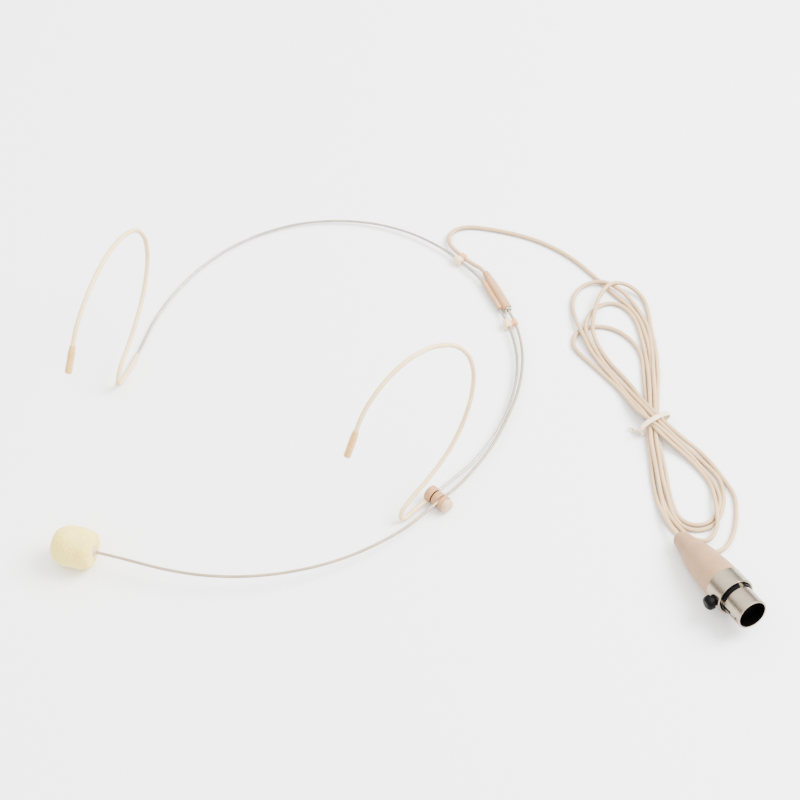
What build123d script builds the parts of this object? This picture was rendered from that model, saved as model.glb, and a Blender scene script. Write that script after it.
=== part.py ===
from build123d import *
import math
import os

os.makedirs("parts", exist_ok=True)

# ---- driving dimensions, in millimetres -------------------------------------------
# The routes below are laid out about the middle of the line between the two ears.
# These two move that layout so that the row's origin is under the middle of the object.
ear_middle_x = -1.58
ear_middle_y = -14.88

frame_wire_radius = 0.35
fit_gap = 0.02
ear_tube_radius = 0.62
boom_radius = 0.40
cable_radius = 0.60

ferrule_radius = 1.0
ferrule_mouth_radius = 0.8
ferrule_taper = 1.8
ferrule_length = 7.6
ferrule_tube_depth = 2.0
ferrule_wire_depth = 4.6

stack_rise = 0.95
lobe_radius = 2.3
lobe_thickness = 2.2
block_edge_round = 0.45
washer_radius = 1.95
washer_thickness = 0.3
hub_radius = 2.1
hub_thickness = 1.9
hub_edge_round = 0.3
groove_width = 0.6
jaw_radius = 2.2
jaw_thickness = 1.1
jaw_edge_round = 0.25
knob_radius = 1.85
knob_thickness = 1.7
knob_edge_round = 0.8
screw_radius = 0.5
screw_head_radius = 0.95
screw_head_depth = 0.6
screw_slot_width = 0.3
screw_slot_depth = 0.25
boom_grip_back = 2.5
boom_split_gap = 0.45

screen_length = 13.3
screen_radius = 5.75
screen_mouth_radius = 3.2
screen_bore_depth = 9.6
screen_widest_at = 4.6
capsule_radius = 2.2
capsule_length = 6.4
capsule_wall = 0.3
grille_length = 1.8
grille_hole_radius = 0.28
element_radius = 1.75
element_length = 2.2

sleeve_radius = 1.35
sleeve_top_radius = 0.95
sleeve_length = 15.4
sleeve_bore_radius = 0.62
saddle_radius = 0.72
saddle_length = 11.6
saddle_offset = 2.05
saddle_start = 0.8
saddle_web_height = 0.6
saddle_web_width = 1.4
ring_radius = 0.98
ring_length = 3.0
ring_proud = 0.7

clip_bead_radius = 1.35
clip_bead_length = 2.6
clip_snap_length = 1.8
clip_snap_wall = 0.45
clip_reach = 1.85
clip_arm_width = 1.0
clip_arm_inset = 0.2
clip_bead_end_share = 0.8

plug_length = 34.0
barrel_radius = 4.4
barrel_bore_radius = 3.8
barrel_rear_radius = 4.18
barrel_front_length = 6.4
barrel_length = 12.2
barrel_slot_start = 0.9
barrel_slot_width = 1.2
tab_width = 0.9
tab_radius = 4.74
tab_end = 8.9
tab_turn = 16.0
tab_start = barrel_front_length + 0.1
black_ring_start = tab_start
black_ring_end = 9.3
black_ring_radius = 4.67
insert_start = 3.0
insert_end = 12.3
shell_start = 7.6
shell_radius = 5.4
shell_wall = 0.45
shell_neck_radius = 4.1
shell_neck_wall = 0.4
shell_neck_length = 3.0
shell_end_wall = 0.8
boot_front_at = 13.3
boot_cavity_radius = 3.1
boot_cavity_end = 26.0
chuck_radius = 2.6
latch_angle = 2.0
stem_radius = 1.45
button_radius = 2.0
button_height = 1.9
button_at = 9.9
button_edge_round = 1.1
latch_travel = 0.6
latch_stem_start = 4.55
latch_stem_clearance = 0.1
hook_start = 2.2
hook_length = 1.6
hook_rise = 0.35
arm_middle = 3.5
arm_thickness = 0.4
arm_width = 1.8
pusher_radius = 0.7
contact_circle_radius = 1.95
contact_radius = 0.62
contact_bore_radius = 0.44

hank_height = 4.4
tie_width = 2.0
tie_outer_width = 10.4
tie_wall = 0.7


# ---- helpers ----------------------------------------------------------------------
def at(x, y, z):
    return Vector(x + ear_middle_x, y + ear_middle_y, z)


def bend_radii(points):
    """Each bend is as large as the shorter of its two runs allows."""
    radii = []
    for before, here, after in zip(points, points[1:], points[2:]):
        turn = (here - before).get_angle(after - here)
        shorter = min((here - before).length, (after - here).length)
        radii.append(0.45 * shorter / math.tan(math.radians(turn) / 2))
    return radii


def route_line(points, radii):
    with BuildLine() as line:
        FilletPolyline(*points, radius=radii)
    return line.wires()[0]


def round_bar(line, radius, bore=0.0):
    """A round bar, or a tube when it has a bore, that follows a route."""
    with BuildPart() as bar:
        with BuildSketch(Plane(origin=line @ 0, z_dir=line % 0)):
            Circle(radius)
            if bore > 0:
                Circle(bore, mode=Mode.SUBTRACT)
        sweep(path=line)
    return bar.part


def check_route(name, line, solid, area, radii):
    print(name, "length", round(line.length, 1), "smallest bend", round(min(radii), 2))
    print(name, "volume over section times length", round(solid.volume / (area * line.length), 4))


def save(name, solid):
    solid.label = name
    export_step(solid, "parts/" + name + ".step")


# ---- the bent frame wire: right ear hook, neckband, left ear hook -----------------
# The boom is on the wearer's left. The wire starts inside the right hook's ferrule.
right_tip_start = at(-43.0, -21.2, 39.6)
right_tip_way = Vector(1.5, -5.5, -6.2).normalized()
left_tip_start = at(37.6, -9.4, 41.3)
left_tip_way = Vector(-0.4, -4.4, -6.8).normalized()

right_hook_points = [
    right_tip_start + right_tip_way * ferrule_wire_depth,
    right_tip_start - right_tip_way * 5.0,
    at(-45.8, -9.8, 46.6),
    at(-47.7, -1.5, 47.9),
    at(-49.6, 7.2, 47.3),
    at(-51.2, 15.6, 44.8),
    at(-52.4, 23.0, 39.6),
    at(-52.9, 27.0, 31.8),
    at(-52.4, 26.2, 23.8),
    at(-51.0, 21.6, 17.4),
    at(-49.2, 14.6, 12.6),
    at(-47.3, 7.2, 9.8),
    at(-46.0, 1.4, 8.2),
    at(-45.2, -1.8, 5.7),
    at(-45.6, -1.9, 2.2),
    at(-46.5, 1.6, 0.65),
]
band_points = [
    at(-47.3, 7.6, 0.65),
    at(-49.1, 15.5, 0.65),
    at(-51.4, 25.0, 0.65),
    at(-52.3, 36.0, 0.65),
    at(-51.5, 47.5, 0.7),
    at(-48.7, 58.5, 0.8),
    at(-43.6, 68.8, 0.9),
    at(-36.2, 78.0, 1.0),
    at(-26.8, 85.0, 1.1),
    at(-15.8, 89.8, 1.3),
    at(-4.0, 91.6, 1.5),
    at(7.6, 90.6, 1.6),
    at(18.0, 87.3, 1.6),
    at(22.8, 85.2, 1.6),
    at(34.6, 76.6, 1.6),
    at(40.0, 71.8, 1.6),
    at(45.1, 65.6, 1.7),
    at(49.1, 58.4, 1.8),
    at(52.0, 50.2, 1.9),
    at(53.9, 41.6, 2.0),
    at(54.5, 33.2, 2.0),
    at(53.8, 24.8, 1.8),
    at(51.6, 16.4, 1.6),
]
left_hook_points = [
    at(48.8, 5.6, 1.5),
    at(48.0, 2.7, 1.3),
    at(47.1, -0.8, 1.0),
    at(46.5, -2.0, 2.3),
    at(46.4, -0.9, 4.3),
    at(47.1, 3.4, 5.9),
    at(48.8, 11.0, 8.6),
    at(50.3, 17.2, 12.6),
    at(51.2, 22.6, 18.2),
    at(51.6, 26.6, 25.2),
    at(51.3, 28.8, 33.4),
    at(50.0, 28.0, 41.6),
    at(47.6, 24.0, 48.4),
    at(44.6, 16.8, 52.7),
    at(41.9, 8.9, 53.6),
    at(39.6, 1.2, 51.2),
    left_tip_start - left_tip_way * 5.6,
    left_tip_start + left_tip_way * ferrule_wire_depth,
]
wire_points = right_hook_points + band_points + left_hook_points
wire_radii = bend_radii(wire_points)
wire_line = route_line(wire_points, wire_radii)
frame_wire = round_bar(wire_line, frame_wire_radius)
wire_bore = round_bar(wire_line, frame_wire_radius + fit_gap)
check_route("frame_wire", wire_line, frame_wire, math.pi * frame_wire_radius**2, wire_radii)
save("frame_wire", frame_wire)

# ---- silicone tubes over the two hooks --------------------------------------------
right_count = len(right_hook_points)
right_tube_points = [right_tip_start + right_tip_way * ferrule_tube_depth]
right_tube_points += right_hook_points[1:] + band_points[:1]
right_tube_points.append((band_points[0] + band_points[1]) * 0.5)
right_tube_line = route_line(right_tube_points, wire_radii[:right_count])
right_ear_tube = round_bar(right_tube_line, ear_tube_radius, frame_wire_radius + fit_gap)
save("right_ear_tube", right_ear_tube)

# ---- the adjuster's axis crosses the wire's straight run just behind the left ear --
# It passes above the wire, so that the clamp screw clears the wire.
clamped_run = left_hook_points[0] - band_points[-1]
run_way = clamped_run.normalized()
stack_way = Vector(-run_way.Y, run_way.X, 0).normalized()
clamped_point = band_points[-1] + clamped_run * 0.66
stack_centre = clamped_point + Vector(0, 0, stack_rise)
tube_stop = clamped_point + run_way * (lobe_radius + fit_gap)

left_count = len(left_hook_points)
left_tube_points = [tube_stop] + left_hook_points[:-1]
left_tube_points.append(left_tip_start + left_tip_way * ferrule_tube_depth)
left_tube_radii = wire_radii[-(left_count - 1):]
left_tube_line = route_line(left_tube_points, left_tube_radii)
left_ear_tube = round_bar(left_tube_line, ear_tube_radius, frame_wire_radius + fit_gap)
save("left_ear_tube", left_ear_tube)


# ---- the two tip ferrules ---------------------------------------------------------
def tip_ferrule(start, way):
    base = Plane(origin=start, z_dir=way)
    with BuildPart() as ferrule:
        with BuildSketch(base):
            Circle(ferrule_mouth_radius)
        with BuildSketch(base.offset(ferrule_taper)):
            Circle(ferrule_radius)
        loft()
        with BuildSketch(base.offset(ferrule_taper)):
            Circle(ferrule_radius)
        extrude(amount=ferrule_length - ferrule_taper)
        tip_edge = ferrule.edges().sort_by(Axis(start, way))[-1]
        fillet(tip_edge, ferrule_radius * 0.55)
        with BuildSketch(base):
            Circle(ear_tube_radius + fit_gap)
        extrude(amount=ferrule_tube_depth + fit_gap, mode=Mode.SUBTRACT)
        with BuildSketch(base):
            Circle(frame_wire_radius + fit_gap)
        extrude(amount=ferrule_wire_depth + 0.1, mode=Mode.SUBTRACT)
    return ferrule.part


save("right_tip_ferrule", tip_ferrule(right_tip_start, right_tip_way))
save("left_tip_ferrule", tip_ferrule(left_tip_start, left_tip_way))

# ---- adjuster: parts stacked along one axis ---------------------------------------
lobe_start = -lobe_thickness / 2
washer_start = lobe_start + lobe_thickness
hub_start = washer_start + washer_thickness + fit_gap
groove_start = hub_start + hub_thickness
jaw_start = groove_start + groove_width
knob_start = jaw_start + jaw_thickness
screw_end = knob_start + knob_thickness * 0.6
groove_middle = groove_start + groove_width / 2


def stack_plane(distance):
    return Plane(origin=stack_centre + stack_way * distance, x_dir=run_way, z_dir=stack_way)


with BuildPart() as clamp_block:
    with BuildSketch(stack_plane(lobe_start)):
        Circle(lobe_radius)
    extrude(amount=lobe_thickness)
    fillet(clamp_block.edges().filter_by(GeomType.CIRCLE), block_edge_round)
    with BuildSketch(stack_plane(lobe_start)):
        Circle(screw_head_radius + fit_gap)
    extrude(amount=screw_head_depth, mode=Mode.SUBTRACT)
    with BuildSketch(stack_plane(lobe_start)):
        Circle(screw_radius + fit_gap)
    extrude(amount=lobe_thickness, mode=Mode.SUBTRACT)
    add(wire_bore, mode=Mode.SUBTRACT)
save("clamp_block", clamp_block.part)

with BuildPart() as clamp_washer:
    with BuildSketch(stack_plane(washer_start)):
        Circle(washer_radius)
        Circle(screw_radius + fit_gap, mode=Mode.SUBTRACT)
    extrude(amount=washer_thickness)
save("clamp_washer", clamp_washer.part)

# The boom crosses the groove above the screw.
boom_rise = screw_radius + boom_radius + 0.05
boom_middle = stack_centre + stack_way * groove_middle + Vector(0, 0, boom_rise)
level_run = Vector(run_way.X, run_way.Y, 0).normalized()
with BuildPart() as boom_slot:
    with BuildSketch(Plane(origin=boom_middle - level_run * 5, z_dir=level_run)):
        Circle(boom_radius + fit_gap)
    extrude(amount=10)

with BuildPart() as swivel_hub:
    with BuildSketch(stack_plane(hub_start)):
        Circle(hub_radius)
    extrude(amount=hub_thickness)
    fillet(swivel_hub.edges().filter_by(GeomType.CIRCLE), hub_edge_round)
    with BuildSketch(stack_plane(hub_start)):
        Circle(screw_radius + fit_gap)
    extrude(amount=hub_thickness, mode=Mode.SUBTRACT)
    add(boom_slot.part, mode=Mode.SUBTRACT)
save("swivel_hub", swivel_hub.part)

with BuildPart() as clamp_jaw:
    with BuildSketch(stack_plane(jaw_start)):
        Circle(jaw_radius)
    extrude(amount=jaw_thickness)
    fillet(clamp_jaw.edges().filter_by(GeomType.CIRCLE), jaw_edge_round)
    with BuildSketch(stack_plane(jaw_start)):
        Circle(screw_radius + fit_gap)
    extrude(amount=jaw_thickness, mode=Mode.SUBTRACT)
    add(boom_slot.part, mode=Mode.SUBTRACT)
save("clamp_jaw", clamp_jaw.part)

with BuildPart() as clamp_knob:
    with BuildSketch(stack_plane(knob_start + fit_gap)):
        Circle(knob_radius)
    extrude(amount=knob_thickness)
    knob_rim = clamp_knob.edges().sort_by(Axis(stack_centre, stack_way))[-1]
    fillet(knob_rim, knob_edge_round)
    with BuildSketch(stack_plane(knob_start)):
        Circle(screw_radius + fit_gap)
    extrude(amount=screw_end - knob_start + fit_gap, mode=Mode.SUBTRACT)
save("clamp_knob", clamp_knob.part)

with BuildPart() as clamp_screw:
    with BuildSketch(stack_plane(lobe_start + 0.05)):
        Circle(screw_head_radius)
    extrude(amount=screw_head_depth - 0.05)
    with BuildSketch(stack_plane(lobe_start + 0.05)):
        Rectangle(3 * screw_head_radius, screw_slot_width)
    extrude(amount=screw_slot_depth, mode=Mode.SUBTRACT)
    with BuildSketch(stack_plane(lobe_start + screw_head_depth)):
        Circle(screw_radius)
    extrude(amount=screw_end - lobe_start - screw_head_depth)
save("clamp_screw", clamp_screw.part)

# ---- boom: one run forward to the microphone, one run back beside the neckband -----
mic_start = at(-15.4, -54.85, 5.8)
mic_way = Vector(-13.3, -3.4, 0).normalized()
boom_front_points = [
    boom_middle - level_run * boom_grip_back,
    boom_middle + level_run * 5.0,
    at(50.2, -4.4, 3.5),
    at(46.9, -12.4, 3.8),
    at(42.5, -20.6, 4.2),
    at(36.7, -28.5, 4.6),
    at(29.5, -35.9, 5.0),
    at(21.1, -42.3, 5.3),
    at(11.5, -47.5, 5.6),
    at(1.6, -50.9, 5.8),
    mic_start - mic_way * 7.5,
    mic_start + mic_way * 1.3,
]
boom_front_radii = bend_radii(boom_front_points)
boom_front_line = route_line(boom_front_points, boom_front_radii)
boom_front = round_bar(boom_front_line, boom_radius)
save("boom_front", boom_front)

sleeve_ring_end = at(34.4, 79.5, 1.6)
sleeve_way = Vector(-11.8, 8.6, 0).normalized()
boom_tail_points = [
    boom_middle - level_run * (boom_grip_back + boom_split_gap),
    boom_middle - level_run * 7.0,
    at(55.4, 20.6, 2.9),
    at(55.8, 29.0, 2.5),
    at(55.3, 37.2, 2.3),
    at(54.0, 45.6, 2.1),
    at(52.0, 54.2, 1.9),
    at(48.9, 62.0, 1.8),
    at(45.6, 67.9, 1.7),
    at(41.3, 73.5, 1.6),
    sleeve_ring_end - sleeve_way * 2.5,
    sleeve_ring_end + sleeve_way * 3.5,
]
boom_tail_radii = bend_radii(boom_tail_points)
boom_tail_line = route_line(boom_tail_points, boom_tail_radii)
boom_tail = round_bar(boom_tail_line, boom_radius)
check_route("boom_tail", boom_tail_line, boom_tail, math.pi * boom_radius**2, boom_tail_radii)
save("boom_tail", boom_tail)


# ---- microphone capsule and its foam ----------------------------------------------
def mic_plane(distance):
    return Plane(origin=mic_start + mic_way * distance, x_dir=Vector(0, 0, 1), z_dir=mic_way)


with BuildPart() as capsule_housing:
    with BuildSketch(mic_plane(0.2)):
        Circle(0.9)
    with BuildSketch(mic_plane(1.6)):
        Circle(capsule_radius)
    loft()
    with BuildSketch(mic_plane(1.6)):
        Circle(capsule_radius)
    extrude(amount=capsule_length)
    with BuildSketch(mic_plane(2.4)):
        Circle(capsule_radius - capsule_wall)
    extrude(amount=capsule_length, mode=Mode.SUBTRACT)
    with BuildSketch(mic_plane(0)):
        Circle(boom_radius + fit_gap)
    extrude(amount=3, mode=Mode.SUBTRACT)
save("capsule_housing", capsule_housing.part)

grille_start = 1.6 + capsule_length - grille_length + 0.8
with BuildPart() as capsule_grille:
    with BuildSketch(mic_plane(grille_start)):
        Circle(capsule_radius - capsule_wall - fit_gap)
        with PolarLocations(0.95, 6):
            Circle(grille_hole_radius, mode=Mode.SUBTRACT)
        Circle(grille_hole_radius, mode=Mode.SUBTRACT)
    extrude(amount=grille_length - 0.8)
save("capsule_grille", capsule_grille.part)

with BuildPart() as microphone_element:
    with BuildSketch(mic_plane(grille_start - element_length - 0.1)):
        Circle(element_radius)
    extrude(amount=element_length)
    with BuildSketch(mic_plane(grille_start - 0.4)):
        Circle(0.4)
    extrude(amount=0.6, mode=Mode.SUBTRACT)
save("microphone_element", microphone_element.part)

with BuildPart() as windscreen:
    with BuildSketch(Plane(origin=mic_start, x_dir=mic_way, z_dir=Vector(mic_way.Y, -mic_way.X, 0))):
        with BuildLine():
            Line((0, 0), (0, screen_mouth_radius))
            mouth_pull = (0, 5.1)
            waist_pull = (1.6, screen_radius)
            waist = (screen_widest_at, screen_radius)
            Bezier((0, screen_mouth_radius), mouth_pull, waist_pull, waist)
            shoulder_pull = (10.4, screen_radius)
            tip_pull = (screen_length, 4.9)
            Bezier(waist, shoulder_pull, tip_pull, (screen_length, 0))
            Line((screen_length, 0), (0, 0))
        make_face()
    revolve(axis=Axis(mic_start, mic_way))
    with BuildSketch(mic_plane(0)):
        Circle(capsule_radius + 0.05)
    extrude(amount=screen_bore_depth, mode=Mode.SUBTRACT)
save("windscreen", windscreen.part)

# ---- junction sleeve with its saddle on the frame wire ------------------------------
sleeve_across = Vector(sleeve_way.Y, -sleeve_way.X, 0)


def sleeve_plane(distance, across=0.0):
    origin = sleeve_ring_end + sleeve_way * distance - sleeve_across * across
    return Plane(origin=origin, x_dir=sleeve_across, z_dir=sleeve_way)


with BuildPart() as junction_sleeve:
    with BuildSketch(Plane(origin=sleeve_ring_end, x_dir=sleeve_way, z_dir=Vector(0, 0, 1))):
        with BuildLine():
            Polyline(
                (0, 0),
                (0, sleeve_radius - 0.15),
                (0.2, sleeve_radius),
                (sleeve_length * 0.62, sleeve_radius),
                (sleeve_length - 0.2, sleeve_top_radius),
                (sleeve_length, sleeve_top_radius - 0.15),
                (sleeve_length, 0),
                (0, 0),
            )
        make_face()
    revolve(axis=Axis(sleeve_ring_end, sleeve_way))
    with BuildSketch(sleeve_plane(saddle_start, saddle_offset)):
        Circle(saddle_radius)
    extrude(amount=saddle_length)
    with BuildSketch(sleeve_plane(2 * saddle_start, saddle_offset * 0.6)):
        Rectangle(saddle_web_width, saddle_web_height)
    extrude(amount=saddle_length - 2 * saddle_start)
    with BuildSketch(sleeve_plane(0)):
        Circle(ring_radius + fit_gap)
    extrude(amount=ring_length - ring_proud, mode=Mode.SUBTRACT)
    with BuildSketch(sleeve_plane(0)):
        Circle(sleeve_bore_radius)
    extrude(amount=sleeve_length, mode=Mode.SUBTRACT)
    add(wire_bore, mode=Mode.SUBTRACT)
save("junction_sleeve", junction_sleeve.part)

with BuildPart() as sleeve_ring:
    with BuildSketch(sleeve_plane(-ring_proud)):
        Circle(ring_radius)
        Circle(ring_radius - 0.3, mode=Mode.SUBTRACT)
    extrude(amount=ring_length)
save("sleeve_ring", sleeve_ring.part)


# ---- clips: a bead on the wire with an open snap on its outer side ------------------
def wire_clip(centre, way, held_radius, held_point):
    out = (held_point - centre - way * (held_point - centre).dot(way)).normalized()
    base = Plane(origin=centre - way * (clip_bead_length / 2), x_dir=out, z_dir=way)
    snap_base = Plane(origin=held_point - way * (clip_snap_length / 2), x_dir=out, z_dir=way)
    reach = (held_point - centre).length
    snap_outer = held_radius + clip_snap_wall
    with BuildPart() as clip:
        with BuildSketch(base):
            Circle(clip_bead_radius * clip_bead_end_share)
        with BuildSketch(base.offset(clip_bead_length / 2)):
            Circle(clip_bead_radius)
        loft()
        with BuildSketch(base.offset(clip_bead_length / 2)):
            Circle(clip_bead_radius)
        with BuildSketch(base.offset(clip_bead_length)):
            Circle(clip_bead_radius * clip_bead_end_share)
        loft()
        with BuildSketch(snap_base):
            Circle(snap_outer)
        extrude(amount=clip_snap_length)
        with BuildSketch(snap_base.offset(clip_arm_inset)):
            with Locations((-reach / 2, 0)):
                Rectangle(reach, clip_arm_width)
        extrude(amount=clip_snap_length - 2 * clip_arm_inset)
        with BuildSketch(snap_base.offset(-1)):
            Circle(held_radius + fit_gap)
            with Locations((snap_outer, 0)):
                Rectangle(2 * snap_outer, held_radius * 1.7)
        extrude(amount=clip_snap_length + 2, mode=Mode.SUBTRACT)
        add(wire_bore, mode=Mode.SUBTRACT)
    return clip.part


rear_clip_run = band_points[12] - band_points[11]
rear_clip_way = rear_clip_run.normalized()
rear_clip_centre = band_points[11] + rear_clip_run * 0.5
rear_clip_out = Vector(-rear_clip_way.Y, rear_clip_way.X, 0).normalized()
cable_in_clip = rear_clip_centre + rear_clip_out * clip_reach
save("rear_clip", wire_clip(rear_clip_centre, rear_clip_way, cable_radius, cable_in_clip))

side_clip_run = band_points[15] - band_points[14]
side_clip_way = side_clip_run.normalized()
side_clip_centre = band_points[14] + side_clip_run * 0.5
boom_snap_start = boom_tail_points[-3]
boom_snap_way = (boom_tail_points[-2] - boom_snap_start).normalized()
snap_distance = (side_clip_centre - boom_snap_start).dot(boom_snap_way)
boom_in_clip = boom_snap_start + boom_snap_way * snap_distance
save("side_clip", wire_clip(side_clip_centre, side_clip_way, boom_radius, boom_in_clip))

# ---- the cable, end to end as it lies: lead, hank with its tie, tail ----------------
sleeve_top = sleeve_ring_end + sleeve_way * sleeve_length
clip_level = Vector(rear_clip_way.X, rear_clip_way.Y, 0).normalized()
cable_points = [
    sleeve_top - sleeve_way * 3.0,
    sleeve_top + sleeve_way * 1.6,
    cable_in_clip + clip_level * 3.6,
    cable_in_clip - clip_level * 2.8,
    at(7.3, 93.1, 1.5),
    at(5.1, 96.3, 1.1),
    at(5.5, 100.2, 0.85),
    at(8.4, 103.1, 0.7),
    at(13.6, 105.2, 0.65),
    at(19.9, 107.0, 0.65),
    at(26.8, 108.3, 0.65),
    at(34.3, 108.3, 0.65),
    at(41.7, 107.0, 0.65),
    at(47.6, 104.9, 0.65),
    at(52.8, 103.0, 0.65),
]
cable_bends = bend_radii(cable_points)
cable_line = route_line(cable_points, cable_bends)
cable_lead = round_bar(cable_line, cable_radius)
print("cable bends", [round(bend, 1) for bend in cable_bends])
check_route("cable_lead", cable_line, cable_lead, math.pi * cable_radius**2, cable_bends)
save("cable_lead", cable_lead)

tie_centre = at(90.4, 62.4, hank_height / 2)
tie_way = Vector(0.85, -0.53, 0).normalized()
tie_across = Vector(0.53, 0.85, 0).normalized()
core_width = tie_outer_width - 2 * tie_wall - 0.1
core_height = hank_height - 2 * tie_wall - 0.1


def tie_plane(distance):
    return Plane(origin=tie_centre + tie_way * distance, x_dir=tie_across, z_dir=tie_way)


with BuildPart() as waist_cut:
    with BuildSketch(tie_plane(-tie_width / 2 - 0.05)):
        Rectangle(20, 10)
        Rectangle(core_width, core_height, mode=Mode.SUBTRACT)
    extrude(amount=tie_width + 0.1)

hank_outline = [
    at(51.5, 102.2, 0),
    at(48.8, 98.0, 0),
    at(48.6, 92.0, 0),
    at(51.0, 85.5, 0),
    at(56.5, 78.5, 0),
    at(62.5, 73.2, 0),
    at(70.0, 68.6, 0),
    at(78.0, 64.2, 0),
    at(87.4, 58.2, 0),
    at(91.4, 54.6, 0),
    at(97.5, 46.0, 0),
    at(102.5, 39.0, 0),
    at(106.3, 34.8, 0),
    at(110.5, 33.1, 0),
    at(114.0, 34.4, 0),
    at(118.6, 33.6, 0),
    at(123.2, 33.4, 0),
    at(125.3, 37.0, 0),
    at(124.8, 43.5, 0),
    at(122.0, 50.2, 0),
    at(115.8, 56.2, 0),
    at(107.0, 60.6, 0),
    at(101.0, 62.4, 0),
    at(96.2, 64.0, 0),
    at(91.6, 68.6, 0),
    at(85.6, 77.0, 0),
    at(79.8, 88.0, 0),
    at(73.0, 97.5, 0),
    at(66.5, 103.0, 0),
    at(59.0, 104.0, 0),
]
with BuildPart() as cable_hank:
    with BuildSketch():
        with BuildLine():
            Polyline(*hank_outline, close=True)
        make_face()
    extrude(amount=hank_height)
    add(waist_cut.part, mode=Mode.SUBTRACT)
save("cable_hank", cable_hank.part)

with BuildPart() as hank_tie:
    with BuildSketch(tie_plane(-tie_width / 2)):
        RectangleRounded(tie_outer_width, hank_height, 1.2)
        Rectangle(core_width + 0.1, core_height + 0.1, mode=Mode.SUBTRACT)
    extrude(amount=tie_width)
save("hank_tie", hank_tie.part)

# ---- miniature locking plug, lying on its side with its nose a little raised ---------
plug_nose = at(143.25, 13.0, 8.4)
boot_end = at(114.2, 29.9, 3.0)
plug_back = (boot_end - plug_nose).normalized()
plug_side = Vector(-plug_back.Y, plug_back.X, 0).normalized()
plug_down = plug_side.cross(plug_back)
latch_turn = math.radians(latch_angle)
latch_out = plug_side * math.cos(latch_turn) + plug_down * math.sin(latch_turn)
plug_axis = Axis(plug_nose, plug_back)
button_plane = Plane(origin=plug_nose + plug_back * button_at, x_dir=plug_back, z_dir=latch_out)


def plug_plane(distance, outward=0.0):
    origin = plug_nose + plug_back * distance + latch_out * outward
    return Plane(origin=origin, x_dir=latch_out, z_dir=plug_back)


def plug_ring(start, end, outer, inner):
    """A tube about the plug's axis, between two distances behind the nose."""
    with BuildPart() as ring:
        with BuildSketch(plug_plane(start)):
            Circle(outer)
            if inner > 0:
                Circle(inner, mode=Mode.SUBTRACT)
        extrude(amount=end - start)
    return ring.part


def plug_tabs(width, outer):
    """Four tabs about the plug's axis, from behind the barrel's front to inside the shell."""
    inner = barrel_rear_radius - 0.2
    with BuildPart() as tabs:
        with BuildSketch(plug_plane(tab_start)):
            with PolarLocations((inner + outer) / 2, 4, start_angle=tab_turn):
                Rectangle(outer - inner, width)
        extrude(amount=tab_end - tab_start)
    return tabs.part


with BuildPart() as plug_barrel:
    add(plug_ring(0, barrel_front_length, barrel_radius, barrel_bore_radius))
    add(plug_ring(barrel_front_length, barrel_length, barrel_rear_radius, barrel_bore_radius))
    nose_edges = plug_barrel.edges().group_by(plug_axis)[0]
    chamfer(nose_edges, 0.2)
    add(plug_tabs(tab_width, tab_radius))
    with BuildSketch(plug_plane(barrel_slot_start, barrel_radius)):
        Rectangle(2, barrel_slot_width)
    extrude(amount=barrel_front_length - barrel_slot_start, mode=Mode.SUBTRACT)
    with BuildSketch(button_plane):
        Circle(stem_radius + 2 * latch_stem_clearance)
    extrude(amount=shell_radius, mode=Mode.SUBTRACT)
save("plug_barrel", plug_barrel.part)

with BuildPart() as plug_shell:
    add(plug_ring(shell_start, boot_front_at, shell_radius, shell_radius - shell_wall))
    neck_bore = shell_neck_radius - shell_neck_wall
    add(plug_ring(boot_front_at, boot_front_at + shell_neck_length, shell_neck_radius, neck_bore))
    add(plug_ring(boot_front_at - shell_end_wall, boot_front_at, shell_radius - 0.2, neck_bore))
    rim_edges = plug_shell.edges().group_by(plug_axis)[0]
    chamfer(rim_edges.sort_by(SortBy.LENGTH)[-1], 0.15)
    with BuildSketch(button_plane):
        Circle(stem_radius + latch_stem_clearance)
    extrude(amount=shell_radius + 1, mode=Mode.SUBTRACT)
save("plug_shell", plug_shell.part)

black_ring_bore = barrel_rear_radius + fit_gap
with BuildPart() as plug_black_ring:
    add(plug_ring(black_ring_start, black_ring_end, black_ring_radius, black_ring_bore))
    add(plug_tabs(tab_width + 2 * fit_gap, tab_radius + 0.2), mode=Mode.SUBTRACT)
    with BuildSketch(button_plane):
        Circle(stem_radius + 2 * latch_stem_clearance)
    extrude(amount=shell_radius, mode=Mode.SUBTRACT)
save("plug_black_ring", plug_black_ring.part)

# The insert has a flat groove on the latch's side and three round sockets.
insert_radius = barrel_bore_radius - fit_gap
latch_groove = 2.6
socket_depth = 8.5
with BuildPart() as plug_insert:
    add(plug_ring(insert_start, insert_end, insert_radius, 0))
    with BuildSketch(plug_plane(insert_start, insert_radius)):
        Rectangle(latch_groove, latch_groove)
    extrude(amount=insert_end - insert_start, mode=Mode.SUBTRACT)
    with BuildSketch(plug_plane(insert_start)):
        with PolarLocations(contact_circle_radius, 3, start_angle=60):
            Circle(contact_radius)
    extrude(amount=socket_depth, mode=Mode.SUBTRACT)
save("plug_insert", plug_insert.part)

contact_start = insert_start + 0.2
contact_length = socket_depth - 0.6
with BuildPart() as plug_contacts:
    with BuildSketch(plug_plane(contact_start)):
        with PolarLocations(contact_circle_radius, 3, start_angle=60):
            Circle(contact_radius - fit_gap)
    extrude(amount=contact_length)
    with BuildSketch(plug_plane(contact_start)):
        with PolarLocations(contact_circle_radius, 3, start_angle=60):
            Circle(contact_bore_radius)
    extrude(amount=contact_length * 0.7, mode=Mode.SUBTRACT)
save("plug_contacts", plug_contacts.part)

with BuildPart() as latch_button:
    with BuildSketch(button_plane.offset(latch_stem_start)):
        Circle(stem_radius)
    extrude(amount=shell_radius + latch_travel + 0.1 - latch_stem_start)
    with BuildSketch(button_plane.offset(shell_radius + latch_travel + 0.05)):
        Circle(button_radius)
    extrude(amount=button_height)
    top_edge = latch_button.edges().sort_by(Axis(plug_nose, latch_out))[-1]
    fillet(top_edge, button_edge_round)
save("latch_button", latch_button.part)

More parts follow.
